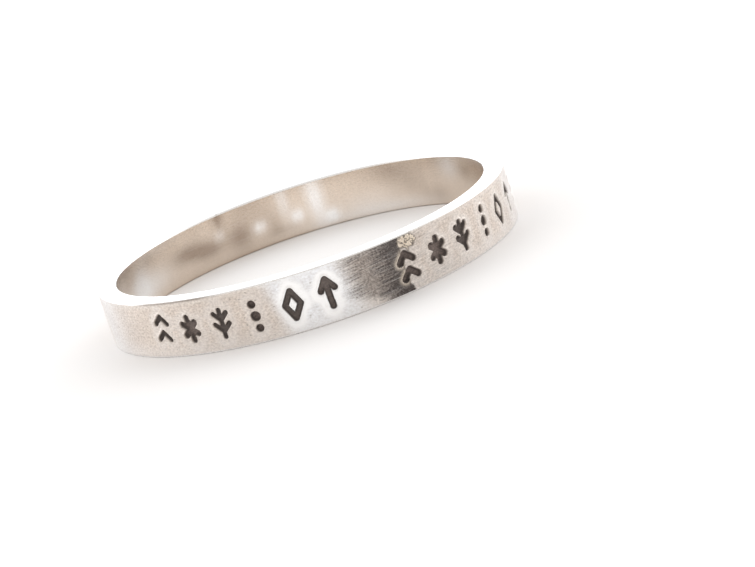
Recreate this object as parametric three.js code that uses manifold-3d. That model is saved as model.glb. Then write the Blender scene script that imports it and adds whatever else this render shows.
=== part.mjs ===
// A stackable finger ring: one flat silver band with a row of small ornaments punched into its outer face.
// Lengths are in millimetres and angles in degrees. The ring lies on its lower edge at Z = 0 and its axis is Z.
// The ornaments run along the front in two groups, and the blank stretch between them faces close to -Y.
import * as THREE from "three";
import { mergeVertices, toCreasedNormals } from "three/addons/utils/BufferGeometryUtils.js";
import Module from "manifold-3d";

const wasm = await Module();
wasm.setup();

// The band, a strip bent round and soldered
const FINGER_BORE = 17.3; // inner diameter, a common ring size
const WALL = 0.9; // thickness of the strip
const BAND_WIDTH = 2.5; // width of the strip, which is the ring's height as it lies
const OUTER_CORNER = 0.07; // rounding of the two outer corners
const INNER_CORNER = 0.12; // rounding of the two inner corners, softened for the finger
const BAND_SEGMENTS = 144; // facets round the band
const CORNER_SEGMENTS = 3; // facets across each rounded corner

// The ornaments, struck one by one with small hand punches
const MARK_HEIGHT = 1.18; // between the middles of the highest and the lowest stroke end
const MARK_WIDTH = 0.66; // between the middles of the left and right stroke ends
const STROKE_WIDTH = 0.17; // width of a groove's floor
const STRIKE_DEPTH = 0.2; // depth of a groove below the outer face
const FLANK_ANGLE = 14; // lean of a groove's walls from square to the face
const MARK_PITCH = 1.6; // from one ornament's middle to the next, along the outer face
const GROUP_GAP = 3.6; // between the middles of the two ornaments beside the blank stretch
const GAP_DIRECTION = 284; // where the middle of the blank stretch faces
const STROKE_END_SEGMENTS = 4; // facets round each end of a stroke
const PUNCH_CLEARANCE = 0.5; // how far a punch stands out of the band before it is cut away

const outerRadius = FINGER_BORE / 2 + WALL;

// A stroke runs between two points of the punch's own box, which reaches from -1 to 1 both ways.
// weight is the stroke's width as a share of STROKE_WIDTH.
function stroke(from, to, weight = 1) {
  return { from, to, weight };
}

// The same stroke to the right and to the left of the punch's middle line.
function mirrored([x1, y1], [x2, y2], weight = 1) {
  return [stroke([x1, y1], [x2, y2], weight), stroke([-x1, y1], [-x2, y2], weight)];
}

function dot(x, y, weight) {
  return stroke([x, y], [x, y], weight);
}

const PUNCHES = {
  arrow: [stroke([0, -1], [0, 1]), ...mirrored([0, 1], [0.9, 0.25])],
  lozenge: [...mirrored([0, 1], [1, 0]), ...mirrored([1, 0], [0, -1])],
  fern: [stroke([0, -1], [0, 1]), ...mirrored([0, -0.6], [1, -0.05]), ...mirrored([0, 0.25], [0.9, 0.75])],
  star: [stroke([0, -0.85], [0, 0.85]), ...mirrored([-0.95, -0.42], [0.95, 0.42])],
  chevrons: [...mirrored([0, 0.9], [1, 0.35]), ...mirrored([0, -0.3], [1, -0.85])],
  compass: [dot(0, 0, 1.2), dot(-1, 0, 0.8), dot(1, 0, 0.8), dot(0, 0.9, 1.2), dot(0, -0.9, 1.2)],
  beads: [dot(0, 0.9, 1.2), dot(0, 0, 1.6), dot(0, -0.9, 1.2)],
};

// One row for each strike, from the blank stretch outwards. slip is along the band as a share of MARK_PITCH,
// lift is towards the upper edge as a share of the free margin, tilt leans the punch to the left,
// and bite scales both the strokes' width and the depth, as a heavier blow does.
const LEFT_GROUP = [
  { punch: "arrow", slip: 0.0, lift: 0.05, tilt: 2, bite: 1.1 },
  { punch: "lozenge", slip: 0.02, lift: 0.0, tilt: -3, bite: 1.05 },
  { punch: "beads", slip: -0.02, lift: -0.1, tilt: 3, bite: 1.2 },
  { punch: "fern", slip: 0.01, lift: -0.08, tilt: -2, bite: 0.85 },
  { punch: "star", slip: 0.0, lift: -0.1, tilt: 4, bite: 1.15 },
  { punch: "chevrons", slip: 0.03, lift: 0.12, tilt: -4, bite: 0.95 },
];
const RIGHT_GROUP = [
  { punch: "chevrons", slip: 0.0, lift: -0.15, tilt: 3, bite: 1.15 },
  { punch: "star", slip: 0.0, lift: -0.05, tilt: -3, bite: 1.2 },
  { punch: "fern", slip: -0.02, lift: 0.0, tilt: 2, bite: 1.05 },
  { punch: "beads", slip: 0.01, lift: 0.05, tilt: -2, bite: 1.25 },
  { punch: "lozenge", slip: 0.0, lift: 0.0, tilt: 2, bite: 0.95 },
  { punch: "arrow", slip: 0.02, lift: 0.08, tilt: -3, bite: 0.9 },
  { punch: "compass", slip: 0.0, lift: 0.0, tilt: 0, bite: 1.0 },
];

function solidFrom(geometry) {
  geometry.deleteAttribute("normal");
  geometry.deleteAttribute("uv");
  const merged = mergeVertices(geometry, 1e-5);
  const mesh = { numProp: 3, vertProperties: merged.attributes.position.array, triVerts: merged.index.array };
  return new wasm.Manifold(new wasm.Mesh(mesh));
}

function geometryFrom(solid) {
  const { vertProperties, triVerts } = solid.getMesh();
  return new THREE.BufferGeometry()
    .setAttribute("position", new THREE.BufferAttribute(vertProperties, 3))
    .setIndex(new THREE.BufferAttribute(triVerts, 1));
}

// The quarter circle of a rounded corner, from one angle to the next quarter, as points of the section.
function cornerPoints(cornerRadius, radial, height, startAngle) {
  return Array.from({ length: CORNER_SEGMENTS + 1 }, (_, i) => {
    const angle = THREE.MathUtils.degToRad(startAngle + (90 * i) / CORNER_SEGMENTS);
    return new THREE.Vector2(radial + cornerRadius * Math.cos(angle), height + cornerRadius * Math.sin(angle));
  });
}

// The strip's section carried round the axis: a flat face all round, with rounded corners.
function bareBand() {
  const inner = FINGER_BORE / 2 + INNER_CORNER;
  const outer = outerRadius - OUTER_CORNER;
  const section = [
    ...cornerPoints(INNER_CORNER, inner, INNER_CORNER, 180),
    ...cornerPoints(OUTER_CORNER, outer, OUTER_CORNER, 270),
    ...cornerPoints(OUTER_CORNER, outer, BAND_WIDTH - OUTER_CORNER, 0),
    ...cornerPoints(INNER_CORNER, inner, BAND_WIDTH - INNER_CORNER, 90),
  ];
  section.push(section[0].clone());
  return solidFrom(new THREE.LatheGeometry(section, BAND_SEGMENTS).rotateX(Math.PI / 2));
}

// One stroke of a punch as a solid with round ends and leaning flanks. Its floor lies at local z = 0.
function strokeSolid({ from, to, weight }, bite) {
  const start = new THREE.Vector2((from[0] * MARK_WIDTH) / 2, (from[1] * MARK_HEIGHT) / 2);
  const end = new THREE.Vector2((to[0] * MARK_WIDTH) / 2, (to[1] * MARK_HEIGHT) / 2);
  const along = start.equals(end) ? 0 : end.clone().sub(start).angle();
  const halfWidth = (STROKE_WIDTH * weight * bite) / 2;
  const outline = new THREE.Shape()
    .absarc(start.x, start.y, halfWidth, along + Math.PI / 2, along + Math.PI * 1.5)
    .absarc(end.x, end.y, halfWidth, along - Math.PI / 2, along + Math.PI / 2);
  const flankHeight = STRIKE_DEPTH * bite + PUNCH_CLEARANCE;
  const geometry = new THREE.ExtrudeGeometry(outline, {
    depth: PUNCH_CLEARANCE,
    curveSegments: STROKE_END_SEGMENTS,
    bevelSegments: 1,
    bevelThickness: flankHeight,
    bevelSize: flankHeight * Math.tan(THREE.MathUtils.degToRad(FLANK_ANGLE)),
  });
  return solidFrom(geometry.translate(0, 0, flankHeight));
}

// A whole punch, set where it strikes: local x runs along the band, y up it and z out of it.
function struckPunch({ punch, slip, lift, tilt, bite }, place, side) {
  const whole = PUNCHES[punch].map((each) => strokeSolid(each, bite)).reduce((a, b) => a.add(b));
  const arc = side * (GROUP_GAP / 2 + place * MARK_PITCH) + slip * MARK_PITCH;
  const direction = THREE.MathUtils.degToRad(GAP_DIRECTION) + arc / outerRadius;
  const outwards = new THREE.Vector3(Math.cos(direction), Math.sin(direction), 0);
  const upwards = new THREE.Vector3(0, 0, 1);
  const alongBand = upwards.clone().cross(outwards);
  const height = BAND_WIDTH / 2 + (lift * (BAND_WIDTH - MARK_HEIGHT)) / 2;
  const floor = outwards.clone().multiplyScalar(outerRadius - STRIKE_DEPTH * bite).setZ(height);
  const matrix = new THREE.Matrix4()
    .makeBasis(alongBand, upwards, outwards)
    .setPosition(floor)
    .multiply(new THREE.Matrix4().makeRotationZ(THREE.MathUtils.degToRad(tilt)));
  return whole.transform(matrix.elements);
}

function stampedBand() {
  const strikes = [
    ...LEFT_GROUP.map((row, place) => struckPunch(row, place, -1)),
    ...RIGHT_GROUP.map((row, place) => struckPunch(row, place, 1)),
  ];
  return strikes.reduce((band, strike) => band.subtract(strike), bareBand());
}

const silver = new THREE.MeshStandardMaterial({ color: 0xd6cbc0, roughness: 0.35, metalness: 1 });

const creaseAngle = THREE.MathUtils.degToRad(25);
const ringBand = new THREE.Mesh(toCreasedNormals(geometryFrom(stampedBand()), creaseAngle), silver);
ringBand.name = "ring_band";

const ring = new THREE.Group();
ring.add(ringBand);

export default ring;
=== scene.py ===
# %% [markdown]
# # A stamped stacking ring
#
# The real ring is one flat strip of sterling silver, bent round a mandrel, soldered shut and struck on its
# outer face with small hand punches. The marks were blackened, and the face was rubbed bright again around
# them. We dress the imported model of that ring: it fixes the size and the place, and we make the surface.
# The ring lies on its lower edge, its axis points up, and the viewer stands on the side of minus Y.

import math

import bpy
import numpy as np
from mathutils import Matrix, Vector


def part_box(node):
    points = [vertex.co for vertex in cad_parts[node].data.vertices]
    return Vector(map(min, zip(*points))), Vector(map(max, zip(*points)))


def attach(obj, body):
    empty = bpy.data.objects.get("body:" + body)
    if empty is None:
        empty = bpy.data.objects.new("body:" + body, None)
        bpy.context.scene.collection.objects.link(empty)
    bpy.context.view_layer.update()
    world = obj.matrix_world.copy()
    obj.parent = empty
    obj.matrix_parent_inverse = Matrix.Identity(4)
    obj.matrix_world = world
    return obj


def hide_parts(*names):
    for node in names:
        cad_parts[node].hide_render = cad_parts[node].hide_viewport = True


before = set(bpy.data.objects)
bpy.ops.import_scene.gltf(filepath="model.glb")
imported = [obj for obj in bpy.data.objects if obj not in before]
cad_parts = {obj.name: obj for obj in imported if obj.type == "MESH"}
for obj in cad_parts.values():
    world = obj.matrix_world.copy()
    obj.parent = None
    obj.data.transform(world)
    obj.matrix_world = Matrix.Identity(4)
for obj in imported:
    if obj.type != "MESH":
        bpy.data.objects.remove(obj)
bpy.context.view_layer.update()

# %% [markdown]
# ## Sizes
#
# A jeweller thinks in millimetres and Blender in metres, so all shapes are worked out in millimetres and
# scaled once, when they go into a mesh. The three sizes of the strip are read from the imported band, so that
# the dressed band can't drift away from it: the outer radius, the bore and the width.

# %% Read the strip's sizes
MM = 0.001
OUTER_CORNER = 0.07
INNER_CORNER = 0.12
band_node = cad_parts["ring_band"]
band_low, band_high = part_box("ring_band")


def bore_of(node):
    """The bore's radius: the smallest distance of any vertex from the axis, which is the root of x squared
    plus y squared."""
    places = np.zeros(len(node.data.vertices) * 3, np.float32)
    node.data.vertices.foreach_get("co", places)
    x, y, _ = places.reshape(-1, 3).T
    return float(np.hypot(x, y).min()) / MM


OUTER = (band_high.x - band_low.x) / 2 / MM
BORE = bore_of(band_node)
WIDTH = (band_high.z - band_low.z) / MM
AROUND = 2 * math.pi * OUTER
print(f"outer radius {OUTER:.3f}, bore radius {BORE:.3f}, width {WIDTH:.3f}, way round {AROUND:.2f} mm")

# %% [markdown]
# ## The camera
#
# The camera has to see the ring as the photograph does. A circle seen at a slant is an ellipse, and the
# ellipse alone gives the height of the view: 14 degrees above the plane of the ring. The camera is also
# rolled by almost 18 degrees, so that the ring fills the same pixels as in the photograph.

# %% Place the camera
VIEW_HEIGHT = 13.99
VIEW_ROLL = 17.77
FOCAL_PIXELS = 2238.0
PHOTO_WIDTH = 755
SENSOR = 36.0
CAMERA_PLACE = Vector((2.544, -98.800, 23.270)) * MM
NEAREST_SEEN = 0.001


def make_camera():
    """Forward lies in the YZ plane, VIEW_HEIGHT below the horizon. Right and up are X and the level up
    direction, both turned about forward by VIEW_ROLL."""
    height, roll = math.radians(VIEW_HEIGHT), math.radians(VIEW_ROLL)
    forward = Vector((0, math.cos(height), -math.sin(height)))
    level_right = Vector((1, 0, 0))
    level_up = Vector((0, math.sin(height), math.cos(height)))
    right = math.cos(roll) * level_right - math.sin(roll) * level_up
    up = math.sin(roll) * level_right + math.cos(roll) * level_up
    turned = Matrix((right, up, -forward)).transposed().to_4x4()
    camera = bpy.data.objects.new("camera", bpy.data.cameras.new("camera"))
    camera.matrix_world = Matrix.Translation(CAMERA_PLACE) @ turned
    camera.data.sensor_width = SENSOR
    camera.data.lens = SENSOR * FOCAL_PIXELS / PHOTO_WIDTH
    camera.data.clip_start = NEAREST_SEEN
    bpy.context.scene.collection.objects.link(camera)
    return camera


camera = make_camera()
bpy.context.scene.camera = camera
print(f"lens {camera.data.lens:.1f} mm, {camera.location.length:.3f} m from the ring")

# %% [markdown]
# ## The strip's section
#
# Every cut through the strip shows the same outline: a tall thin rectangle with small round corners. The
# outer corners are nearly sharp, as sheared strip is, and the inner ones are softened for the finger. The
# outline is one closed line of points, and we carry it round the axis. Points lie close together only where
# the punches struck, so that the small marks are crisp and the plain stretches stay light.

# %% Spread points by need
FINE_STEP = 0.027
MIDDLE_STEP = 0.06
SAMPLES = 4000


def spread(low, high, step_at):
    """Places from low up to, but not at, high. The density at a place is one over the step wanted there,
    and each place takes an equal share of the density's running sum."""
    fine = np.linspace(low, high, SAMPLES)
    density = 1 / step_at(fine)
    total = np.concatenate([[0], np.cumsum((density[1:] + density[:-1]) / 2 * np.diff(fine))])
    count = int(math.ceil(total[-1]))
    return np.interp(np.arange(count) / count * total[-1], total, fine)


def ease(low, high, value):
    """Zero at low and one at high, held beyond them, and between them three t squared less two t cubed.
    Low may be the larger of the two."""
    t = np.clip((value - low) / (high - low), 0, 1)
    return t * t * (3 - 2 * t)


print("points on one finely stepped millimetre:", len(spread(0, 1, lambda x: np.full_like(x, FINE_STEP))))

# %% Draw the section
MARKS_LOW, MARKS_HIGH = 0.40, 2.40
CORNER_STEPS = 4
RIM_STEPS = 6
WALL_STEPS = 13
HOLD = 0.015
OUTER_FACE, UPPER_EDGE, INNER_WALL, LOWER_EDGE = range(4)


def row_step(height):
    """The step wanted up the outer face: fine where the marks are, and middling above and below them."""
    return np.where((height > MARKS_LOW) & (height < MARKS_HIGH), FINE_STEP, MIDDLE_STEP)


def quarter(radial, height, radius, start):
    """A rounded corner: the centre plus the radius times the cosine and sine of an angle, which grows by a
    quarter turn from start."""
    angle = np.radians(start + 90 * np.arange(CORNER_STEPS) / CORNER_STEPS)
    return radial + radius * np.cos(angle), height + radius * np.sin(angle)


def straight(start, end, steps):
    """Steps even shares of the way from start to end, without end itself."""
    share = np.arange(steps) / steps
    return start[0] + (end[0] - start[0]) * share, start[1] + (end[1] - start[1]) * share


def held(high, low, steps):
    """Heights from high down to low, without low itself. The second and the last lie HOLD inside the two
    ends, so that the smooth shading of the round corners stays off the flat wall."""
    return np.concatenate([[high], np.linspace(high - HOLD, low + HOLD, steps)])


def section():
    """The closed outline, upwards along the outer face and back down the bore: radius, height and the
    surface that each point belongs to."""
    out, bore = OUTER - OUTER_CORNER, BORE + INNER_CORNER
    rows = spread(OUTER_CORNER, WIDTH - OUTER_CORNER, row_step)
    wall = held(WIDTH - INNER_CORNER, INNER_CORNER, WALL_STEPS)
    runs = [
        (OUTER_FACE, (np.full_like(rows, OUTER), rows)),
        (UPPER_EDGE, quarter(out, WIDTH - OUTER_CORNER, OUTER_CORNER, 0)),
        (UPPER_EDGE, straight((out, WIDTH), (bore, WIDTH), RIM_STEPS)),
        (UPPER_EDGE, quarter(bore, WIDTH - INNER_CORNER, INNER_CORNER, 90)),
        (INNER_WALL, (np.full_like(wall, BORE), wall)),
        (INNER_WALL, quarter(bore, INNER_CORNER, INNER_CORNER, 180)),
        (LOWER_EDGE, straight((bore, 0), (out, 0), RIM_STEPS)),
        (LOWER_EDGE, quarter(out, OUTER_CORNER, OUTER_CORNER, 270)),
    ]
    radius = np.concatenate([r for _, (r, _) in runs])
    height = np.concatenate([z for _, (_, z) in runs])
    surface = np.concatenate([np.full(len(r), name) for name, (r, _) in runs])
    return radius, height, surface


section_radius, section_height, section_surface = section()
print("points round the section:", len(section_radius))

# %% [markdown]
# ## The punches
#
# Each ornament is a hardened steel punch with a few straight strokes on its end. A stroke runs between two
# points of the punch's own box, from -1 to 1 both ways, and its weight widens it. The rows below say how
# each punch was struck: a little high or low, a little tilted, and hard or soft. They are the rows that the
# packed band was cut by, so its marks and ours fall on each other.

# %% The punches
MARK_HEIGHT, MARK_WIDTH = 1.18, 0.66
STROKE_WIDTH, STRIKE_DEPTH = 0.17, 0.20


def stroke(start, end, weight=1.0):
    """One straight stroke of a punch, between two points of its box."""
    return start, end, weight


def mirrored(start, end, weight=1.0):
    """The same stroke to the right and to the left of the punch's middle line."""
    (x1, y1), (x2, y2) = start, end
    return [stroke((x1, y1), (x2, y2), weight), stroke((-x1, y1), (-x2, y2), weight)]


def dot(x, y, weight):
    """A round dot, which is a stroke without length."""
    return stroke((x, y), (x, y), weight)


PUNCHES = {
    "arrow": [stroke((0, -1), (0, 1)), *mirrored((0, 1), (0.9, 0.25))],
    "lozenge": [*mirrored((0, 1), (1, 0)), *mirrored((1, 0), (0, -1))],
    "fern": [stroke((0, -1), (0, 1)), *mirrored((0, -0.6), (1, -0.05)), *mirrored((0, 0.25), (0.9, 0.75))],
    "star": [stroke((0, -0.85), (0, 0.85)), *mirrored((-0.95, -0.42), (0.95, 0.42))],
    "chevrons": [*mirrored((0, 0.9), (1, 0.35)), *mirrored((0, -0.3), (1, -0.85))],
    "compass": [dot(0, 0, 1.2), dot(-1, 0, 0.8), dot(1, 0, 0.8), dot(0, 0.9, 1.2), dot(0, -0.9, 1.2)],
    "beads": [dot(0, 0.9, 1.2), dot(0, 0, 1.6), dot(0, -0.9, 1.2)],
}
print("strokes of each punch:", {name: len(strokes) for name, strokes in PUNCHES.items()})

# %% How they were struck
MARK_PITCH, GROUP_GAP = 1.6, 3.6

# One row for each strike, from the blank stretch outwards: the punch, its slip along the band as a share of
# the pitch, its lift as a share of the free margin, its tilt to the left in degrees, and how hard it bit.
LEFT_GROUP = [
    ("arrow", 0.0, 0.05, 2, 1.1),
    ("lozenge", 0.02, 0.0, -3, 1.05),
    ("beads", -0.02, -0.1, 3, 1.2),
    ("fern", 0.01, -0.08, -2, 0.85),
    ("star", 0.0, -0.1, 4, 1.15),
    ("chevrons", 0.03, 0.12, -4, 0.95),
]
RIGHT_GROUP = [
    ("chevrons", 0.0, -0.15, 3, 1.15),
    ("star", 0.0, -0.05, -3, 1.2),
    ("fern", -0.02, 0.0, 2, 1.05),
    ("beads", 0.01, 0.05, -2, 1.25),
    ("lozenge", 0.0, 0.0, 2, 0.95),
    ("arrow", 0.02, 0.08, -3, 0.9),
    ("compass", 0.0, 0.0, 0, 1.0),
]


def strikes():
    """Each strike with its place along the band: half the gap plus so many pitches, to its own side, plus
    its slip."""
    for side, group in ((-1, LEFT_GROUP), (1, RIGHT_GROUP)):
        for place, (punch, slip, lift, tilt, bite) in enumerate(group):
            along = side * (GROUP_GAP / 2 + place * MARK_PITCH) + slip * MARK_PITCH
            up = WIDTH / 2 + lift * (WIDTH - MARK_HEIGHT) / 2
            yield punch, along, up, math.radians(tilt), bite


STRIKES = list(strikes())
struck_at = [along for _, along, _, _, _ in STRIKES]
print(len(STRIKES), "strikes from", round(min(struck_at), 2), "to", round(max(struck_at), 2), "mm along")

# %% [markdown]
# ## Where the columns go
#
# Places along the band are measured in millimetres from the middle of the blank stretch, and grow to the
# right. The columns start and end at the soldered seam, so that any pattern that follows the strip has its
# join there, where the real strip has it too.

# %% Columns of points round the band
SEAM = 1.62
FAR_STEP = 0.30
MARK_REACH = 0.60
FADE_LENGTH = 4.0


def around(place, centre):
    """How far a place lies from centre along the band, the short way round: the difference, wrapped to half
    a turn either side."""
    return (place - centre + AROUND / 2) % AROUND - AROUND / 2


def column_step(place):
    """The step wanted at a place: fine within a mark's reach, middling just outside it, and growing to
    coarse with the root of the distance, over FADE_LENGTH."""
    nearest = np.min([np.abs(around(place, along)) for along in struck_at], axis=0)
    away = np.clip((nearest - MARK_REACH) / FADE_LENGTH, 0, 1)
    return np.where(nearest < MARK_REACH, FINE_STEP, MIDDLE_STEP + (FAR_STEP - MIDDLE_STEP) * np.sqrt(away))


columns = spread(SEAM - AROUND, SEAM, column_step)
print("columns:", len(columns), "triangles to come:", 2 * len(columns) * len(section_radius))

# %% [markdown]
# ## What a punch does to silver
#
# A punch doesn't remove metal, it moves it. The floor of the mark is as flat as the punch, its walls lean a
# little, and the metal that gave way stands up beside it as a thin lip, which catches the light. Further
# out the face sinks very slightly. All of this is one height over the outer face, so we can work it out for
# all points at once from their distance to the strokes.

# %% Distance to a punch's strokes
def stroke_distance(x, y, start, end):
    """Distance to the stroke's middle line: the offset from start, less its part along the stroke, which is
    held between start and end. A dot has no length, so the divisor is kept just above zero."""
    run_x, run_y = end[0] - start[0], end[1] - start[1]
    length = max(run_x**2 + run_y**2, 1e-12)
    share = np.clip(((x - start[0]) * run_x + (y - start[1]) * run_y) / length, 0, 1)
    return np.hypot(x - start[0] - share * run_x, y - start[1] - share * run_y)


def beyond_strokes(punch, x, y, bite):
    """How far a point lies outside the punch's nearest stroke: its distance to the middle line, less half
    the stroke's width. A hard blow widens the stroke."""
    beyond = np.inf
    for (x1, y1), (x2, y2), weight in PUNCHES[punch]:
        start = x1 * MARK_WIDTH / 2, y1 * MARK_HEIGHT / 2
        end = x2 * MARK_WIDTH / 2, y2 * MARK_HEIGHT / 2
        reach = stroke_distance(x, y, start, end) - STROKE_WIDTH * weight * bite / 2
        beyond = np.minimum(beyond, reach)
    return beyond


middle_gap = float(beyond_strokes("lozenge", 0.0, 0.0, 1.0))
print("from a lozenge's middle to its nearest stroke:", round(middle_gap, 3), "mm")

# %% Relief of the marks
FLANK = math.tan(math.radians(14))
LIP_HEIGHT, LIP_WIDTH = 0.024, 0.065
DISH_DEPTH, DISH_WIDTH = 0.010, 0.75
RUBBED_WIDTH = 0.28
WORN_FROM, WORN_FULL = 0.9, 1.25
WORN_DEPTH = 0.6


def struck(place, height):
    """Height of the face after the strikes, and three masks: how much of the full depth a point lies at,
    how near to a mark it was rubbed bright, and how worn the floor is, which a hard blow makes smoother. In
    a stroke the face is lowered by the depth, and on the wall by one over FLANK for each step towards the
    mouth. The floor is a plane, so it is lowered less at its sides, by x squared over twice the radius. The
    lip, the dish and the nearness are bell curves."""
    face = np.zeros(np.broadcast(place, height).shape)
    sunk, rubbed, worn = np.zeros_like(face), np.zeros_like(face), np.zeros_like(face)
    for punch, along, up, tilt, bite in STRIKES:
        x, y = around(place, along), height - up
        turned_x = x * math.cos(tilt) + y * math.sin(tilt)
        turned_y = y * math.cos(tilt) - x * math.sin(tilt)
        beyond = beyond_strokes(punch, turned_x, turned_y, bite)
        depth = STRIKE_DEPTH * bite
        share = np.clip(1 - beyond / (depth * FLANK), 0, 1)
        outside = np.clip(beyond - depth * FLANK, 0, None)
        lip = LIP_HEIGHT * bite * np.exp(-((outside / LIP_WIDTH) ** 2))
        dish = DISH_DEPTH * bite * np.exp(-(x**2 + y**2) / (2 * DISH_WIDTH**2))
        face += lip * (share <= 0) - dish - share * (depth - x**2 / (2 * OUTER))
        sunk = np.maximum(sunk, share)
        rubbed = np.maximum(rubbed, np.exp(-((outside / RUBBED_WIDTH) ** 2)) * (share <= 0))
        worn = np.maximum(worn, ease(WORN_DEPTH, 1.0, share) * float(ease(WORN_FROM, WORN_FULL, bite)))
    return face, {"sunk": sunk, "rubbed": rubbed, "worn": worn}


deepest = STRIKE_DEPTH * max(bite for *_, bite in STRIKES)
print("the hardest blow sinks", round(deepest, 3), "mm, and a plain blow's lip stands", LIP_HEIGHT, "mm")

# %% [markdown]
# ## The soldered seam and the hand's unevenness
#
# The seam was filled with solder and filed. A rough bead of it is left near the upper edge, and a hairline
# shows where the two ends meet. The strip is also not a perfect circle: it is a little flat where the ends
# were pressed together, and it wavers by a hundredth of a millimetre all round, which you can only see in
# what it reflects.

# %% Unevenness
chance = np.random.default_rng(7)
RIPPLE_LAYERS = 14


def ripples(x, y, size):
    """Smooth seeded unevenness between about -1 and 1: a sum of sine waves with random directions, whose
    lengths lie round size, over the root of their number."""
    total = 0.0
    for _ in range(RIPPLE_LAYERS):
        angle, phase = chance.uniform(0, 2 * math.pi, 2)
        wave = 2 * math.pi / (size * chance.uniform(0.6, 1.6))
        total = total + np.sin((x * math.cos(angle) + y * math.sin(angle)) * wave + phase)
    return total / math.sqrt(RIPPLE_LAYERS)


def wobble(height, waves):
    """How far an upright line strays sideways: the sum of each wave's size times the sine of its rate times
    the height."""
    return sum(size * np.sin(rate * height) for size, rate in waves)


print("layers in each ripple:", RIPPLE_LAYERS)

# %% Relief of the seam, and waviness
BEAD_PLACE, BEAD_UP = 2.00, 2.17
BEAD_HALF_WIDTH, BEAD_HALF_HEIGHT = 0.48, 0.41
BEAD_SIDE = 0.35
BEAD_RAGGED, BEAD_RAGGED_SIZE = 0.14, 0.9
BEAD_RISE = 0.045
BEAD_ROUGHNESS, CRUMB_SIZE = 0.45, 0.16
BEAD_CLEARANCE = 0.05
SEAM_WIDTH, SEAM_DEPTH = 0.03, 0.010
SEAM_WANDER = ((0.02, 3.1), (0.01, 9.7))
FLAT_PLACE = SEAM - 1.2
FLAT_DEPTH, FLAT_LENGTH = 0.014, 1.8
FIRST_WAVE, WAVES = 2, 9
WAVE_HEIGHT = 0.006


def bead(place, height):
    """The lump of solder: one inside an ellipse with a ragged outline and zero outside, with a steep side,
    and kept clear of the upper edge."""
    x = around(place, BEAD_PLACE) / BEAD_HALF_WIDTH
    y = (height - BEAD_UP) / BEAD_HALF_HEIGHT
    lump = ease(0, BEAD_SIDE, 1 - np.hypot(x, y) + BEAD_RAGGED * ripples(x, y, BEAD_RAGGED_SIZE))
    return lump * ease(WIDTH, WIDTH - BEAD_CLEARANCE, height)


def seam_line(place, height):
    """One on the hairline and zero beside it: a bell curve across the seam, which wanders as it rises."""
    across = around(place, SEAM) - wobble(height, SEAM_WANDER)
    return np.exp(-((across / SEAM_WIDTH) ** 2))


def waver(place):
    """Unevenness round the band: a sum of whole waves with random phases, the short ones lower than the
    long, less a bell curve where the band was pressed flat."""
    turn = place / AROUND * 2 * math.pi
    order = np.arange(FIRST_WAVE, FIRST_WAVE + WAVES)[:, None]
    phase = chance.uniform(0, 2 * math.pi, (WAVES, 1))
    waves = (np.sin(order * turn + phase) / np.sqrt(order)).sum(0)
    flat = np.exp(-((around(place, FLAT_PLACE) / FLAT_LENGTH) ** 2))
    return WAVE_HEIGHT * waves - FLAT_DEPTH * flat


print("the lump of solder stands", BEAD_RISE, "mm high and", 2 * BEAD_HALF_WIDTH, "mm wide")

# %% [markdown]
# ## Putting the band together
#
# The surface is now a function of two numbers: the place along the band, and the place round the section.
# On the outer face, the relief moves a point away from the axis. Everywhere, the waviness moves the whole
# strip, so the wall keeps its thickness. The grid closes on itself both ways, so it has no borders to sew.

# %% Work out the grid
GAP_DIRECTION = 284.0


def face_relief(place, height):
    """Height over the plain face, with the masks that go with it: the strikes, plus the lump of solder
    times its crumbs, less the hairline where no solder covers it."""
    face, parts = struck(place, height)
    lump = bead(place, height)
    crumbs = 1 + BEAD_ROUGHNESS * ripples(around(place, BEAD_PLACE), height, CRUMB_SIZE)
    line = seam_line(place, height) * (1 - lump)
    return face + BEAD_RISE * lump * crumbs - SEAM_DEPTH * line, parts | {"bead": lump, "seam": line}


def band_grid():
    """Points of the band, and the relief's masks on them. A point lies at (radius plus relief) times the
    cosine and sine of its direction, and at its height. The relief eases to nothing at the two corners."""
    place, height = columns[:, None], section_height[None, :]
    on_face = (section_surface == OUTER_FACE)[None, :]
    face, parts = face_relief(place, height)
    above_corner, below_corner = height - OUTER_CORNER, WIDTH - OUTER_CORNER - height
    corner = ease(0, OUTER_CORNER, above_corner) * ease(0, OUTER_CORNER, below_corner)
    relief = face * corner * on_face + waver(columns)[:, None]
    direction = math.radians(GAP_DIRECTION) + place / OUTER
    radius = section_radius[None, :] + relief
    points = np.stack([radius * np.cos(direction), radius * np.sin(direction), height + 0 * radius], -1)
    return points, {name: values * on_face for name, values in parts.items()}


points, masks = band_grid()
highest = np.hypot(points[..., 0], points[..., 1]).max() - OUTER
print("relief reaches", round(float(highest), 4), "mm above the face")
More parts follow.
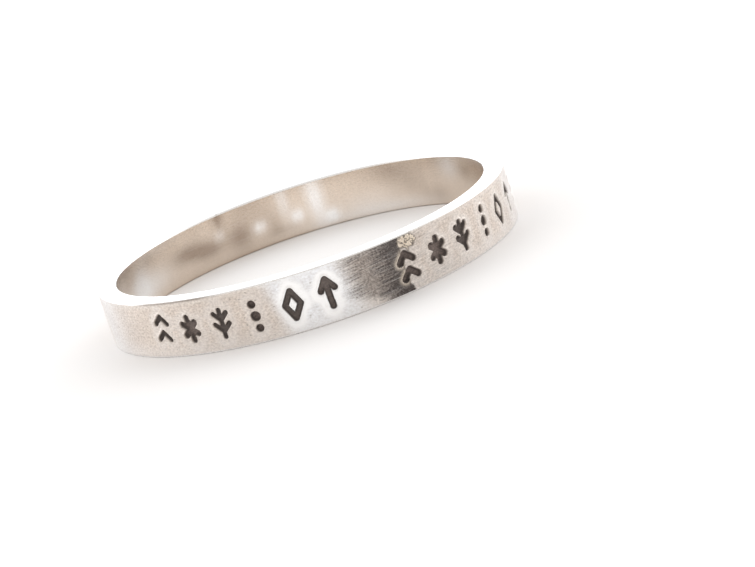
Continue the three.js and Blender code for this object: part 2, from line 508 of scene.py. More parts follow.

# %% [markdown]
# ## Where the face is bright, and where light and shade are painted in
#
# The face isn't one finish all over. Left of the blank stretch the buffing wheel leaned hard, and the
# silver there is almost white. Across the blank stretch a dark reflection is painted into the colour: a
# grey haze that turns darker and ends sharply at the seam, with a faint trace of it beyond. A highlight is
# painted on each end of the face, a reflection of the floor along its lower edge, and a thin dark
# reflection just under the upper edge; the upper edge is lighter. In the bore, dark reflections and
# highlights are painted in soft patches. Each is a mask from 0 to 1, kept on the points, for the material
# to read.

# %% Soft patches, listed
# One row for each patch: which way its middle faces in degrees, its height as a share of the width, half
# its length in degrees, half its height as a share of the width, and its strength. The first table holds
# painted dark reflections in the bore, and the second painted highlights there; its low wide row lightens
# the foot of the wall against its shade. The third holds painted highlights on the outer face's two ends.
BORE_DARK_REFLECTIONS = [
    (22, 0.68, 4, 0.14, 0.45),
    (40, 0.22, 6, 0.18, 0.45),
    (50, 0.50, 7, 0.24, 0.35),
    (57, 0.82, 9, 0.26, 0.65),
    (84, 1.00, 24, 0.14, 0.35),
    (98, 0.22, 5, 0.09, 0.40),
    (99, 0.34, 2.5, 0.18, 0.45),
    (101, 0.60, 5, 0.22, 0.35),
    (107, 0.86, 7, 0.22, 0.35),
    (111, 0.40, 5, 0.28, 1.00),
    (117, 0.94, 1.9, 0.28, 1.00),
    (123, 0.38, 6, 0.16, 0.95),
    (131, 0.51, 7.5, 0.17, 1.00),
    (150, 0.84, 4, 0.16, 0.35),
]
BORE_HIGHLIGHTS = [
    (10, 1.00, 14, 0.14, 0.90),
    (31, 0.86, 5, 0.26, 0.90),
    (64, 0.08, 22, 0.15, 0.60),
    (68, 0.30, 10, 0.20, 0.20),
    (80, 0.21, 2.2, 0.13, 1.00),
    (84, 0.64, 2.7, 0.56, 0.90),
    (91, 0.40, 1.8, 0.13, 1.00),
    (94.5, 0.80, 1.7, 0.40, 0.55),
    (104, 0.43, 1.9, 0.11, 0.80),
    (118, 0.57, 1.3, 0.10, 0.50),
    (146, 1.00, 12, 0.14, 0.50),
    (148, 0.34, 7, 0.24, 0.45),
    (157, 0.42, 6, 0.46, 1.00),
    (171, 0.76, 10, 0.70, 1.00),
]
# Painted highlights on the two ends of the outer face.
PAINTED_END_HIGHLIGHTS = [(197, 0.50, 12, 5.0, 0.70), (348, 0.50, 8, 5.0, 0.55)]


def place_of(direction):
    """A direction's place along the band: its turn from the blank stretch, in radians, times the radius."""
    return math.radians(direction - GAP_DIRECTION) * OUTER


def patches(place, height, table):
    """The sum of the table's patches, held at one. Each is a bell curve along the band times one up it."""
    total = 0.0
    for direction, up, half_length, half_height, strength in table:
        x = around(place, place_of(direction)) / (math.radians(half_length) * OUTER)
        y = (height / WIDTH - up) / half_height
        total = total + strength * np.exp(-(x**2) - y**2)
    return np.minimum(total, 1.0)


# The counts are of painted dark reflections and painted highlights in the bore, and painted highlights on the
# face's ends.
print("patches:", len(BORE_DARK_REFLECTIONS), "of film,", len(BORE_HIGHLIGHTS), "clear and", len(PAINTED_END_HIGHLIGHTS), "rubbed smooth")

# %% The buffed stretch, the painted dark reflection and the lighter edges
BUFFED_FROM, BUFFED_TO = -4.1, -0.9
BUFFED_FADE, BUFFED_TAIL, BUFFED_SLANT = 0.5, 0.9, 0.25
HAZE_FROM, HAZE_FULL, HAZE_SHARE = -1.42, -0.42, 0.57
DARKEST_FROM, DARKEST_FULL, DARKEST_POWER = 0.0, 1.3, 0.7
REFLECTION_SAG, SAG_BELOW = 1.5, 0.95
REFLECTION_SPILL = 0.17
REFLECTION_STOP = 0.04
REFLECTION_RAGGED = ((0.030, 11), (0.021, 27))
FAINT_SHARE, FAINT_REACH = 0.12, 4.5
# A painted reflection of the floor along the lower edge, and a lighter band along the upper edge.
LOWER_REFLECTION, LOWER_REACH = 0.34, 0.90
UPPER_LIGHTENING, UPPER_REACH = 0.22, 0.40
# A thin dark reflection, painted just under the upper edge.
TRACE_FROM, TRACE_TO, TRACE_WIDTH = 219.0, 243.0, 0.05
TRACE_DROP, TRACE_FADE = 0.8 * OUTER_CORNER, 0.8


def buffed_mask(place, height):
    """One between BUFFED_FROM and BUFFED_TO and easing to zero on both sides, slanted as the wheel went."""
    x = around(place, 0) + BUFFED_SLANT * (height - WIDTH / 2)
    begun = ease(BUFFED_FROM - BUFFED_FADE, BUFFED_FROM + BUFFED_FADE, x)
    return begun * (1 - ease(BUFFED_TO - BUFFED_FADE, BUFFED_TO + BUFFED_TAIL, x))


def dark_reflection_mask(place, height):
    """A painted dark reflection: a grey haze, which eases in from HAZE_FROM to HAZE_FULL and holds at
    HAZE_SHARE, and a darker part, which adds the rest as the way from DARKEST_FROM to DARKEST_FULL to the
    power DARKEST_POWER. Both stop at the seam, on a ragged line, and past it a faint share fades out over
    FAINT_REACH. Below SAG_BELOW the haze starts later by up to REFLECTION_SAG, and the darkening spills past
    the seam by up to REFLECTION_SPILL."""
    x = around(place, 0)
    low = ease(SAG_BELOW, 0, height)
    haze = ease(HAZE_FROM, HAZE_FULL, x - REFLECTION_SAG * low)
    darkest = np.clip((x - DARKEST_FROM) / (DARKEST_FULL - DARKEST_FROM), 0, 1) ** DARKEST_POWER
    faint = FAINT_SHARE * ease(SEAM + FAINT_REACH, SEAM, x)
    stop = SEAM + REFLECTION_SPILL * low + wobble(height, REFLECTION_RAGGED)
    past = ease(stop - REFLECTION_STOP, stop + REFLECTION_STOP, x)
    return (HAZE_SHARE * haze + (1 - HAZE_SHARE) * darkest) * (1 - past) + faint * past


def edge_lightening_mask(height):
    """How much lighter the face is painted towards its two long edges: a painted reflection of the floor at
    the lower edge and a lighter band at the upper, each a share easing in over a reach.
    """
    upper = UPPER_LIGHTENING * ease(WIDTH - UPPER_REACH, WIDTH, height)
    return LOWER_REFLECTION * ease(LOWER_REACH, 0, height) + upper


def dark_corner_reflection_mask(place, height):
    """A thin dark reflection painted just under the upper edge: a bell curve in height, easing in at
    TRACE_FROM and out at TRACE_TO."""
    x = around(place, 0)
    low, high = place_of(TRACE_FROM), place_of(TRACE_TO)
    begun = ease(low - TRACE_FADE, low + TRACE_FADE, x)
    along = begun * (1 - ease(high - TRACE_FADE, high + TRACE_FADE, x))
    return along * np.exp(-(((height - WIDTH + TRACE_DROP) / TRACE_WIDTH) ** 2))


print("stain in the middle of the blank stretch:", round(float(dark_reflection_mask(0.0, WIDTH / 2)), 2))

# %% Lay the masks on the points
at_place, at_height = columns[:, None], section_height[None, :]
in_bore = (section_surface == INNER_WALL)[None, :]
outward = (section_radius > OUTER - OUTER_CORNER)[None, :]
# The ends' painted highlights are laid into the buffed stretch's mask.
end_highlights = patches(at_place, at_height, PAINTED_END_HIGHLIGHTS)
masks["buffed_and_end_highlight"] = np.minimum(buffed_mask(at_place, at_height) + end_highlights, 1)
# A dark reflection, painted into the face's colour across the blank stretch.
masks["dark_reflection"] = dark_reflection_mask(at_place, at_height) * (1 - masks["bead"])
masks["edge_lightening"] = np.broadcast_to(edge_lightening_mask(at_height), masks["dark_reflection"].shape)
# The thin painted dark reflection under the upper edge.
masks["dark_corner_reflection"] = dark_corner_reflection_mask(at_place, at_height) * outward
# Painted dark reflections and painted highlights in the bore.
masks["bore_dark_reflection"] = patches(at_place, at_height, BORE_DARK_REFLECTIONS) * in_bore
masks["clear"] = patches(at_place, at_height, BORE_HIGHLIGHTS) * in_bore
print("share of points that are stained:", round(float((masks["dark_reflection"] > 0.5).mean()), 3))

# %% [markdown]
# ## The mesh
#
# A mesh is a list of points and a list of faces, four corners to a face here. The strip is also unrolled
# into a flat map, in millimetres, so that scratches can follow it round the ring as they do on the metal.

# %% Make the band's mesh
def wrapped_quads(columns_count, rows_count):
    """Four corners of each cell of a grid that closes on itself both ways, turned so that the faces look
    outwards."""
    column, row = np.meshgrid(np.arange(columns_count), np.arange(rows_count), indexing="ij")
    after, above = (column + 1) % columns_count, (row + 1) % rows_count
    lower = [column * rows_count + row, after * rows_count + row]
    upper = [after * rows_count + above, column * rows_count + above]
    return np.stack(lower + upper, -1).reshape(-1, 4)


def strip_map(mesh):
    """The unrolled strip as a UV map, in millimetres: the place along the band and the way round the
    section. Each face has its own corners, so the map can jump at the seam."""
    steps = np.hypot(np.diff(section_radius, append=section_radius[0]),
                     np.diff(section_height, append=section_height[0]))
    way = np.concatenate([[0], np.cumsum(steps)])
    along = np.append(columns, columns[0] + AROUND)
    left = np.meshgrid(along[:-1], way[:-1], indexing="ij")
    right = np.meshgrid(along[1:], way[1:], indexing="ij")
    corners = [(left[0], left[1]), (right[0], left[1]), (right[0], right[1]), (left[0], right[1])]
    values = np.stack([np.stack(corner, -1) for corner in corners], -2)
    layer = mesh.uv_layers.new(name="strip")
    layer.uv.foreach_set("vector", values.astype(np.float32).ravel())


def make_band():
    """The band as one object at the origin, with the strip's map and one attribute for each mask."""
    mesh = bpy.data.meshes.new("stamped_band")
    quads = wrapped_quads(len(columns), len(section_radius))
    mesh.from_pydata((points.reshape(-1, 3) * MM).tolist(), [], quads.tolist())
    mesh.shade_smooth()
    strip_map(mesh)
    for name, values in masks.items():
        attribute = mesh.attributes.new(name, "FLOAT", "POINT")
        attribute.data.foreach_set("value", values.astype(np.float32).ravel())
    band = bpy.data.objects.new("stamped_band", mesh)
    bpy.context.scene.collection.objects.link(band)
    return band


band = make_band()
print("band:", len(band.data.vertices), "points,", len(band.data.polygons), "faces")

# %% [markdown]
# ## Tools for materials
#
# A material is a small machine of nodes. Short helpers keep the wiring readable: they add a node, do a sum,
# blend two colours or rescale a value. Two more start a group and place it. A group is built once and
# placed in every material that shares the effect, each with its own numbers.

# %% Helpers for nodes
def put(tree, kind, wires=None, **settings):
    """Adds a node. wires maps an input's name or number to a value, or to another node's output."""
    made = tree.nodes.new("ShaderNode" + kind)
    for name, value in settings.items():
        setattr(made, name, value)
    for name, value in (wires or {}).items():
        plug(tree, value, made.inputs[name])
    return made


def plug(tree, value, socket):
    """Links a node's output to a socket, or sets the socket to a plain value."""
    if isinstance(value, bpy.types.NodeSocket):
        tree.links.new(value, socket)
    else:
        socket.default_value = value


def sum_of(tree, operation, first, second=0.0, third=0.0):
    """A Math node's output."""
    return put(tree, "Math", {0: first, 1: second, 2: third}, operation=operation).outputs[0]


def times(tree, first, second):
    """first times second."""
    return sum_of(tree, "MULTIPLY", first, second)


def summed(tree, start, *terms):
    """start, plus each term's value times its factor."""
    for value, factor in terms:
        start = sum_of(tree, "MULTIPLY_ADD", value, factor, start)
    return start


def remap(tree, value, low, high, new_low=0.0, new_high=1.0):
    """value's stretch from low to high, moved to new_low to new_high and held there."""
    wires = {0: value, 1: low, 2: high, 3: new_low, 4: new_high}
    return put(tree, "MapRange", wires).outputs[0]


def blend_colour(tree, share, first, second):
    """first where share is 0 and second where it is 1."""
    mix = put(tree, "Mix", {"Factor": share}, data_type="RGBA")
    for socket, value in ((mix.inputs[6], first), (mix.inputs[7], second)):
        plug(tree, value if isinstance(value, bpy.types.NodeSocket) else (*value, 1), socket)
    return mix.outputs[2]


def tinted(tree, colour, mask, amount, tint):
    """colour, blended towards tint by mask times amount."""
    return blend_colour(tree, times(tree, mask, amount), colour, tint)


print("helpers: put, plug, sum_of, times, summed, remap, blend_colour, tinted")

# %% Helpers for groups
def new_group(name, inputs, outputs):
    """An empty group with a vector input called Vector, and numbers for its other inputs and its
    outputs."""
    group = bpy.data.node_groups.new(name, "ShaderNodeTree")
    group.interface.new_socket("Vector", in_out="INPUT", socket_type="NodeSocketVector")
    for label, value in inputs.items():
        socket = group.interface.new_socket(label, in_out="INPUT", socket_type="NodeSocketFloat")
        socket.default_value = value
    for label in outputs:
        group.interface.new_socket(label, in_out="OUTPUT", socket_type="NodeSocketFloat")
    return group, group.nodes.new("NodeGroupInput").outputs, group.nodes.new("NodeGroupOutput").inputs


def use_group(tree, group, **values):
    """Places a group in a material. Its inputs are named with underscores for spaces."""
    made = tree.nodes.new("ShaderNodeGroup")
    made.node_tree = group
    for name, value in values.items():
        plug(tree, value, made.inputs[name.replace("_", " ")])
    return made.outputs


def noise_of(tree, place, scale):
    """Flat noise with two finer layers on it, round 0.5."""
    wires = {"Vector": place, "Scale": scale, "Detail": 2.0, "Roughness": 0.6}
    return put(tree, "TexNoise", wires, noise_dimensions="2D").outputs[0]


print("helpers: new_group, use_group, noise_of")

# %% [markdown]
# ## Hairlines
#
# Rubbing with abrasive paper leaves long fine scratches, most of them along the strip, because that is how
# a finger or a wheel slides. Noise that is stretched one way gives such lines. The group stretches it by a
# length and a width in millimetres, and Lean tilts the lines. Lines are the noise's highest ridges, and
# Soft is all of it.

# %% The hairlines group
RIDGES_FROM, COVER_DROP, RIDGE_SLOPE = 0.85, 0.6, 0.15


def hairlines_group():
    """Noise at (x over Length, y plus Lean times x, over Width). Lines rise from zero to one over
    RIDGE_SLOPE above a level, which Cover lowers."""
    inputs = {"Length": 2.0, "Width": 0.05, "Lean": 0.0, "Cover": 0.5}
    group, given, out = new_group("hairlines", inputs, ["Lines", "Soft"])
    split = put(group, "SeparateXYZ", {0: given["Vector"]}).outputs
    leaning = summed(group, split[1], (split[0], given["Lean"]))
    along = sum_of(group, "DIVIDE", split[0], given["Length"])
    across = sum_of(group, "DIVIDE", leaning, given["Width"])
    noise = noise_of(group, put(group, "CombineXYZ", {0: along, 1: across}).outputs[0], 1.0)
    level = sum_of(group, "SUBTRACT", RIDGES_FROM, times(group, given["Cover"], COVER_DROP))
    lines = remap(group, noise, level, sum_of(group, "ADD", level, RIDGE_SLOPE))
    group.links.new(lines, out["Lines"])
    group.links.new(remap(group, noise, 0.25, 0.75), out["Soft"])
    return group


hairlines = hairlines_group()
print("group:", hairlines.name, "with", len(hairlines.nodes), "nodes")

# %% [markdown]
# ## Grain and pits
#
# Under the hairlines the silver has a fine grain, and here and there a pit that polishing didn't reach.
# Grain is plain noise, spread out so that it uses the whole way from 0 to 1. Pits are the middles of random
# cells. A cell's random number says how deep its pit is, and about half of the cells get none.

# %% The grain group
PIT_CORE, PIT_RIM = 0.06, 0.16
PITLESS = 0.55


def grain_group():
    """Grain is the noise's stretch from 0.28 to 0.72. A pit is one up to PIT_CORE from its cell's middle
    and zero past PIT_RIM, times the way of the cell's number from PITLESS to one."""
    group, given, out = new_group("grain", {"Size": 0.1, "Pit Size": 0.5}, ["Grain", "Pits"])
    noise = noise_of(group, given["Vector"], sum_of(group, "DIVIDE", 1.0, given["Size"]))
    per_pit = sum_of(group, "DIVIDE", 1.0, given["Pit Size"])
    wires = {"Vector": given["Vector"], "Scale": per_pit}
    cells = put(group, "TexVoronoi", wires, voronoi_dimensions="2D").outputs
    near = remap(group, cells["Distance"], PIT_CORE, PIT_RIM, 1.0, 0.0)
    number = put(group, "SeparateColor", {0: cells["Color"]}).outputs[0]
    group.links.new(remap(group, noise, 0.28, 0.72), out["Grain"])
    group.links.new(times(group, near, remap(group, number, PITLESS, 1.0)), out["Pits"])
    return group


grain = grain_group()
print("group:", grain.name, "with", len(grain.nodes), "nodes")

# %% [markdown]
# ## The outer face: satin silver with blackened marks
#
# Satin silver under a white light isn't grey but a warm beige, because it mirrors the room in soft focus.
# The buffed stretch is whiter and smoother, and so is the silver that was rubbed bright beside each mark.
# A dark reflection is painted across the blank stretch, and fine scratches along the strip cut through it.
# Highlights are painted on the lips of marks in that dark part and on the face's two ends. The black in
# the marks is an oxide and hardly a metal any more, so it has little mirror in it, and it is partly worn
# off the floors of the hard strikes. The bead of solder is cream, with dark crevices.

# %% Small steps that the materials share
def strip_vector(tree):
    """The unrolled strip's coordinates, in millimetres."""
    return put(tree, "UVMap", uv_map="strip").outputs[0]


def mask_of(tree, name):
    """One of the masks that were laid on the points."""
    return put(tree, "Attribute", attribute_name=name).outputs["Fac"]


def silver(name):
    """A new material, its tree, and its shader, which is a plain metal so far."""
    material = bpy.data.materials.new(name)
    material.use_nodes = True
    tree = material.node_tree
    shader = tree.nodes["Principled BSDF"]
    shader.inputs["Metallic"].default_value = 1.0
    return material, tree, shader


def bumped(tree, shader, height, depth):
    """Height from 0 to 1 as relief of so many metres."""
    bump = put(tree, "Bump", {"Height": height, "Distance": depth, "Strength": 1.0})
    tree.links.new(bump.outputs[0], shader.inputs["Normal"])


print("small steps: strip_vector, mask_of, silver, bumped")

# %% Streaks in the painted dark reflection, and the solder's crevices
SCRATCHES, SPECKLE, BLOTCHES = 0.80, 0.62, 0.20
STIRRED_TO = 1.36
FURROW_CORE, FURROW_RIM, FURROW_DARK = 0.03, 0.16, 0.8
FOOT_DARK = 0.7


def dark_reflection_share(tree, where, dark_reflection):
    """How dark the painted reflection is at a point: its mask, moved up and down by fine scratches, a
    speckle and blotches, whose sum is centred on zero. It counts by the mask's root times STIRRED_TO less
    the mask, so it shows a little in the faintest part, most halfway, and less where the darkening is full."""
    scratches = use_group(tree, hairlines, Vector=where, Length=1.3, Width=0.05, Lean=-0.1, Cover=0.6)
    speckle = use_group(tree, grain, Vector=where, Size=0.09, Pit_Size=0.3)["Grain"]
    blotches = use_group(tree, grain, Vector=where, Size=0.45, Pit_Size=1.0)["Grain"]
    terms = (scratches["Soft"], SCRATCHES), (speckle, SPECKLE), (blotches, BLOTCHES)
    stir = summed(tree, -(SCRATCHES + SPECKLE + BLOTCHES) / 2, *terms)
    root = sum_of(tree, "POWER", dark_reflection, 0.5)
    counts = times(tree, root, sum_of(tree, "SUBTRACT", STIRRED_TO, dark_reflection))
    return remap(tree, summed(tree, dark_reflection, (stir, counts)), 0.0, 1.0)


def crevices_of(tree, where, lump):
    """One in the dark crevices of the bead and at its foot, and zero elsewhere. The crevices are the lines
    where a noise passes through its middle value, so they wander as worms do and never cross."""
    lumps = use_group(tree, grain, Vector=where, Size=0.26, Pit_Size=0.28)
    off_middle = sum_of(tree, "ABSOLUTE", sum_of(tree, "SUBTRACT", lumps["Grain"], 0.5))
    furrows = remap(tree, off_middle, FURROW_CORE, FURROW_RIM, FURROW_DARK, 0.0)
    furrows = sum_of(tree, "MAXIMUM", furrows, lumps["Pits"])
    inside = times(tree, furrows, remap(tree, lump, 0.2, 0.6))
    foot = times(tree, remap(tree, lump, 0.0, 0.25, 0.0, FOOT_DARK), remap(tree, lump, 0.25, 0.7, 1.0, 0.0))
    return sum_of(tree, "MAXIMUM", inside, foot)


print("effects: dark_reflection_share, crevices_of")

# %% The outer face's colours
SATIN = (0.835, 0.75, 0.675)
SATIN_DULL = (0.36, 0.295, 0.25)
BUFFED_AND_HIGHLIGHT_WHITE = (0.95, 0.97, 1.0)
RUBBED_AND_EDGE_WHITE = (1.0, 1.0, 1.0)
# The next colour paints the dark reflection across the blank stretch, and also the seam's line and the bead's
# crevices.
DARK_REFLECTION_SEAM_AND_CREVICE = (0.090, 0.078, 0.074)
OXIDE = (0.112, 0.097, 0.090)
OXIDE_WORN = (0.30, 0.24, 0.215)
PIT_AND_CORNER_DARK = (0.26, 0.215, 0.18)
SOLDER_AND_LIP_HIGHLIGHT = (0.80, 0.71, 0.60)
GRAIN_ON_SATIN, GRAIN_ON_BUFFED = 0.60, 0.34
CLOUD_SHARE, PIT_SHARE, LINE_SHARE = 0.16, 0.75, 0.14
# The lips of marks in the dark reflection get a painted highlight of the solder's cream colour.
LIP_HIGHLIGHT_SHARE, LIP_HIGHLIGHT_POWER = 0.7, 6.0
SEAM_SHARE, CORNER_REFLECTION_SHARE = 0.6, 0.75
WORN_LEAST, OXIDE_GRAIN = 0.25, 0.25


def bare_face(tree, at, surface, cloud):
    """The silver under the painted dark reflection: satin or buffed, with painted highlights at the two ends
    laid in with the buffed stretch, dulled by grain and cloud, pitted, rubbed bright in a ragged halo round
    each mark, most of all on the buffed stretch, and whitened towards the edges: a painted reflection of the
    floor at the lower edge and a lighter band at the upper."""
    colour = blend_colour(tree, at["buffed_and_end_highlight"], SATIN, BUFFED_AND_HIGHLIGHT_WHITE)
    grain_share = remap(tree, at["buffed_and_end_highlight"], 0.0, 1.0, GRAIN_ON_SATIN, GRAIN_ON_BUFFED)
    colour = blend_colour(tree, times(tree, surface["Grain"], grain_share), colour, SATIN_DULL)
    colour = tinted(tree, colour, cloud, CLOUD_SHARE, SATIN_DULL)
    colour = tinted(tree, colour, surface["Pits"], PIT_SHARE, PIT_AND_CORNER_DARK)
    ragged = summed(tree, sum_of(tree, "SUBTRACT", at["rubbed"], 0.25), (cloud, 0.5))
    reach = times(tree, remap(tree, ragged, 0.02, 0.55), remap(tree, at["rubbed"], 0.0, 0.1))
    halo = times(tree, reach, remap(tree, at["buffed_and_end_highlight"], 0.5, 1.0, 0.2, 1.0))
    colour = blend_colour(tree, halo, colour, RUBBED_AND_EDGE_WHITE)
    return blend_colour(tree, at["edge_lightening"], colour, RUBBED_AND_EDGE_WHITE)


def painted_reflections_on_face(tree, at, colour, reflection_darkened, lines):
    """The painted dark reflection, and what shows on top of it: hairlines, a painted highlight on the lips of
    marks that were struck in the dark part, the seam's dark line, and the thin painted dark reflection under
    the upper edge."""
    colour = blend_colour(tree, reflection_darkened, colour, DARK_REFLECTION_SEAM_AND_CREVICE)
    colour = tinted(tree, colour, lines, LINE_SHARE, RUBBED_AND_EDGE_WHITE)
    # Painted highlight on the lips of marks struck in the dark reflection.
    lip = times(tree, sum_of(tree, "POWER", at["rubbed"], LIP_HIGHLIGHT_POWER), at["dark_reflection"])
    colour = tinted(tree, colour, lip, LIP_HIGHLIGHT_SHARE, SOLDER_AND_LIP_HIGHLIGHT)
    colour = tinted(tree, colour, at["seam"], SEAM_SHARE, DARK_REFLECTION_SEAM_AND_CREVICE)
    return tinted(tree, colour, at["dark_corner_reflection"], CORNER_REFLECTION_SHARE, PIT_AND_CORNER_DARK)


def oxide_colour(tree, at, surface):
    """The black in the marks, browner where it is worn and, a little, where the grain is high."""
    bare = times(tree, at["worn"], remap(tree, surface["Grain"], 0.0, 1.0, WORN_LEAST, 1.0))
    bare = sum_of(tree, "MAXIMUM", bare, times(tree, surface["Grain"], OXIDE_GRAIN))
    return blend_colour(tree, bare, OXIDE, OXIDE_WORN)


print("layers of the face: bare_face, painted_reflections_on_face, oxide_colour")

# %% The outer face's material
FACE_MASKS = ("sunk", "rubbed", "worn", "buffed_and_end_highlight", "dark_reflection", "bead", "seam", "dark_corner_reflection", "edge_lightening")
ALONG_STRIP = (0.7, 1.0, 1.0)
FACE_ROUGH = 0.40
OXIDE_LESS_METAL = -0.75
FACE_BUMP = 6e-6


def satin_silver():
    """Silver, then solder, then oxide, each laid over the last by its own mask. Roughness and height are
    sums of the same masks."""
    material, tree, shader = silver("satin_silver")
    where = strip_vector(tree)
    at = {name: mask_of(tree, name) for name in FACE_MASKS}
    lengthwise = use_group(tree, hairlines, Vector=where, Length=1.6, Width=0.05, Cover=0.45)
    rising = use_group(tree, hairlines, Vector=where, Length=0.9, Width=0.05, Lean=-0.15, Cover=0.35)
    lines = sum_of(tree, "MAXIMUM", lengthwise["Lines"], rising["Lines"])
    rubbed_way = put(tree, "Mapping", {"Vector": where, "Scale": ALONG_STRIP}).outputs[0]
    surface = use_group(tree, grain, Vector=rubbed_way, Size=0.085, Pit_Size=0.24)
    cloud = use_group(tree, grain, Vector=rubbed_way, Size=0.9, Pit_Size=2.0)["Grain"]
    # How dark the painted reflection is at each point.
    reflection_darkened = dark_reflection_share(tree, where, at["dark_reflection"])
    crevices = crevices_of(tree, where, at["bead"])
    black = remap(tree, at["sunk"], 0.05, 0.40)

    colour = bare_face(tree, at, surface, cloud)
    colour = painted_reflections_on_face(tree, at, colour, reflection_darkened, lines)
    colour = blend_colour(tree, remap(tree, at["bead"], 0.15, 0.5), colour, SOLDER_AND_LIP_HIGHLIGHT)
    colour = blend_colour(tree, crevices, colour, DARK_REFLECTION_SEAM_AND_CREVICE)
    colour = blend_colour(tree, black, colour, oxide_colour(tree, at, surface))
    tree.links.new(colour, shader.inputs["Base Color"])

    rougher = (at["buffed_and_end_highlight"], -0.10), (reflection_darkened, -0.14), (at["bead"], 0.10), (black, 0.40)
    tree.links.new(summed(tree, FACE_ROUGH, *rougher), shader.inputs["Roughness"])
    tree.links.new(summed(tree, 1.0, (black, OXIDE_LESS_METAL)), shader.inputs["Metallic"])
    lower = (lines, -0.35), (surface["Pits"], -1.5), (crevices, -4.0)
    bumped(tree, shader, summed(tree, surface["Grain"], *lower), FACE_BUMP)
    return material


print("masks that the face reads:", ", ".join(FACE_MASKS))

# %% [markdown]
# ## The bore and the edges
#
# The bore was polished on a felt stick, so it is smoother than the face. Dark reflections and highlights
# are painted on it in soft patches, and the polish left faint upright streaks. The two edges were filed flat
# and buffed, and they are the brightest part of the ring. Both use the same two groups as the face, with
# other numbers.

# %% The bore's and the edges' materials
BORE_SILVER = (0.775, 0.67, 0.57)
# The next colour is for grain and the painted dark reflections, and the one after it for painted highlights
# and hairlines.
DARK_GRAIN_AND_REFLECTION = (0.33, 0.255, 0.20)
HIGHLIGHT_AND_HAIRLINE_WHITE = (1.0, 1.0, 1.0)
EDGE_SILVER = (0.93, 0.92, 0.91)
STREAK_SHARE, BORE_REFLECTION_SHARE, BORE_GRAIN_SHARE, BORE_LINE_SHARE = 0.10, 0.85, 0.06, 0.08
BORE_ROUGH, EDGE_ROUGH = 0.18, 0.22
BORE_BUMP, EDGE_BUMP = 1.5e-6, 2e-6
UPRIGHT = (1.0, 0.12, 1.0)


def polished_silver():
    """Warm silver with faint upright streaks, with painted dark reflections and painted highlights."""
    material, tree, shader = silver("polished_silver")
    where = strip_vector(tree)
    upright = put(tree, "Mapping", {"Vector": where, "Scale": UPRIGHT}).outputs[0]
    streaks = use_group(tree, grain, Vector=upright, Size=0.9, Pit_Size=3.0)["Grain"]
    fine = use_group(tree, hairlines, Vector=where, Length=2.5, Width=0.06, Cover=0.4)["Lines"]
    surface = use_group(tree, grain, Vector=where, Size=0.12, Pit_Size=0.9)["Grain"]
    colour = tinted(tree, BORE_SILVER, streaks, STREAK_SHARE, DARK_GRAIN_AND_REFLECTION)
    # Painted dark reflections, then painted highlights.
    colour = tinted(tree, colour, mask_of(tree, "bore_dark_reflection"), BORE_REFLECTION_SHARE, DARK_GRAIN_AND_REFLECTION)
    colour = blend_colour(tree, mask_of(tree, "clear"), colour, HIGHLIGHT_AND_HAIRLINE_WHITE)
    colour = tinted(tree, colour, surface, BORE_GRAIN_SHARE, DARK_GRAIN_AND_REFLECTION)
    colour = tinted(tree, colour, fine, BORE_LINE_SHARE, HIGHLIGHT_AND_HAIRLINE_WHITE)
    tree.links.new(colour, shader.inputs["Base Color"])
    tree.links.new(summed(tree, BORE_ROUGH, (surface, 0.08)), shader.inputs["Roughness"])
    bumped(tree, shader, summed(tree, surface, (fine, -0.4)), BORE_BUMP)
    return material


def filed_silver():
    """Bright silver with short slanting file marks, a few pits, and the thin painted dark reflection at its
    corner.
    """
    material, tree, shader = silver("filed_silver")
    where = strip_vector(tree)
    filed = use_group(tree, hairlines, Vector=where, Length=0.5, Width=0.04, Lean=0.6, Cover=0.4)
    surface = use_group(tree, grain, Vector=where, Size=0.15, Pit_Size=0.9)
    colour = tinted(tree, EDGE_SILVER, surface["Pits"], 0.3, DARK_GRAIN_AND_REFLECTION)
    colour = tinted(tree, colour, mask_of(tree, "dark_corner_reflection"), 0.9, PIT_AND_CORNER_DARK)
    tree.links.new(colour, shader.inputs["Base Color"])
    tree.links.new(summed(tree, EDGE_ROUGH, (surface["Grain"], 0.10)), shader.inputs["Roughness"])
    bumped(tree, shader, summed(tree, surface["Grain"], (filed["Lines"], -0.5)), EDGE_BUMP)
    return material


print("materials: satin_silver, polished_silver, filed_silver")

# %% Dress the band
SATIN_SLOT, FILED_SLOT, POLISHED_SLOT = range(3)
finishes = [satin_silver(), filed_silver(), polished_silver()]
slot_of_surface = np.array([SATIN_SLOT, FILED_SLOT, POLISHED_SLOT, FILED_SLOT])


def dress(piece):
    """Each face takes the finish of the section's run that it starts in."""
    for material in finishes:
        piece.data.materials.append(material)
    slots = np.tile(slot_of_surface[section_surface], len(columns)).astype(np.int32)
    piece.data.polygons.foreach_set("material_index", slots)


dress(band)
print("finishes:", [slot.name for slot in band.data.materials])

# %% [markdown]
# ## The studio
#
# A product photographer lays such a ring on white paper in a white tent. Then the paper is so bright that
# it fades into the background, and only a faint grey is left close to the silver. The tent is the world
# here: brightest behind and above, and dimmer and warmer on the camera's side, where the open front lets
# the room in.

# %% Floor
FLOOR_COLOUR = (0.925, 0.91, 0.90, 1)
FLOOR_SIZE = 6.0
FLOOR_DROP = 2e-6
PAPER_ROUGH, PAPER_GLOSS = 0.9, 0.1


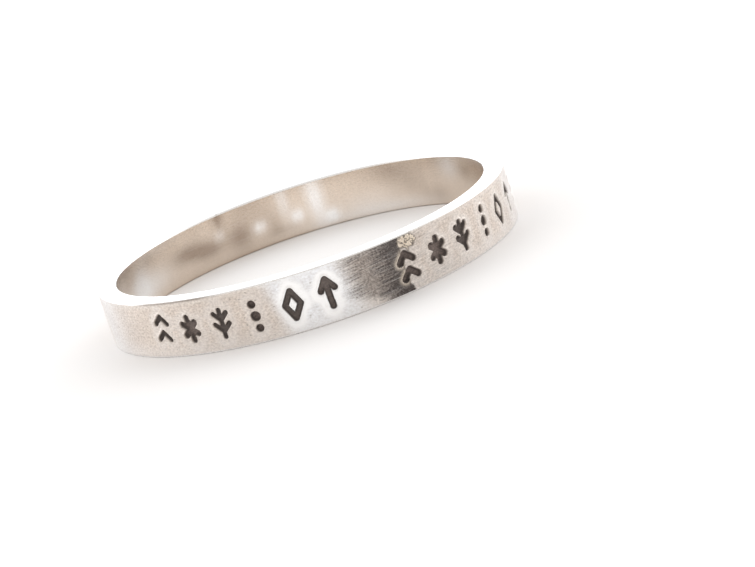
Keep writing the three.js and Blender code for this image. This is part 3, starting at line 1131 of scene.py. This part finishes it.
def make_floor():
    """A square sheet of white paper, in metres, a hair below the ring."""
    half = FLOOR_SIZE / 2
    sides = ((-half, -half), (half, -half), (half, half), (-half, half))
    mesh = bpy.data.meshes.new("floor")
    mesh.from_pydata([(x, y, -FLOOR_DROP) for x, y in sides], [], [(0, 1, 2, 3)])
    paper = bpy.data.materials.new("paper")
    paper.use_nodes = True
    shader = paper.node_tree.nodes["Principled BSDF"]
    shader.inputs["Base Color"].default_value = FLOOR_COLOUR
    shader.inputs["Roughness"].default_value = PAPER_ROUGH
    shader.inputs["Specular IOR Level"].default_value = PAPER_GLOSS
    mesh.materials.append(paper)
    floor = bpy.data.objects.new("floor", mesh)
    bpy.context.scene.collection.objects.link(floor)
    return floor


floor = make_floor()
print("floor:", FLOOR_SIZE, "m wide")

# %% The white tent
BEHIND = (2.10, 2.12, 2.16)
FRONT = (0.76, 0.72, 0.68)
OVERHEAD = (0.94, 0.94, 0.94)
PLAIN_WHITE = (1.0, 1.0, 1.0)
TURN = 0.35
HIGH_FROM, HIGH_TO = 0.45, 0.95


def make_tent():
    """The light from each direction: FRONT to BEHIND as y grows through TURN either side of zero, blended
    to OVERHEAD as z grows. The camera itself sees plain white past the floor."""
    world = bpy.data.worlds.new("tent")
    bpy.context.scene.world = world
    world.use_nodes = True
    tree = world.node_tree
    tree.nodes.clear()
    way = put(tree, "TexCoord").outputs["Generated"]
    split = put(tree, "SeparateXYZ", {0: way}).outputs
    light = blend_colour(tree, remap(tree, split[1], -TURN, TURN), FRONT, BEHIND)
    light = blend_colour(tree, remap(tree, split[2], HIGH_FROM, HIGH_TO), light, OVERHEAD)
    seen = put(tree, "LightPath").outputs["Is Camera Ray"]
    light = blend_colour(tree, seen, light, PLAIN_WHITE)
    background = put(tree, "Background", {"Color": light, "Strength": 1.0}).outputs[0]
    put(tree, "OutputWorld", {"Surface": background})


make_tent()
bpy.context.scene.view_settings.view_transform = "Standard"
print("tent: behind", BEHIND, "front", FRONT)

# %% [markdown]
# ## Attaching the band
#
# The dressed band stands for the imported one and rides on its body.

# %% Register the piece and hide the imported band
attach(band, "root")
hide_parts("ring_band")
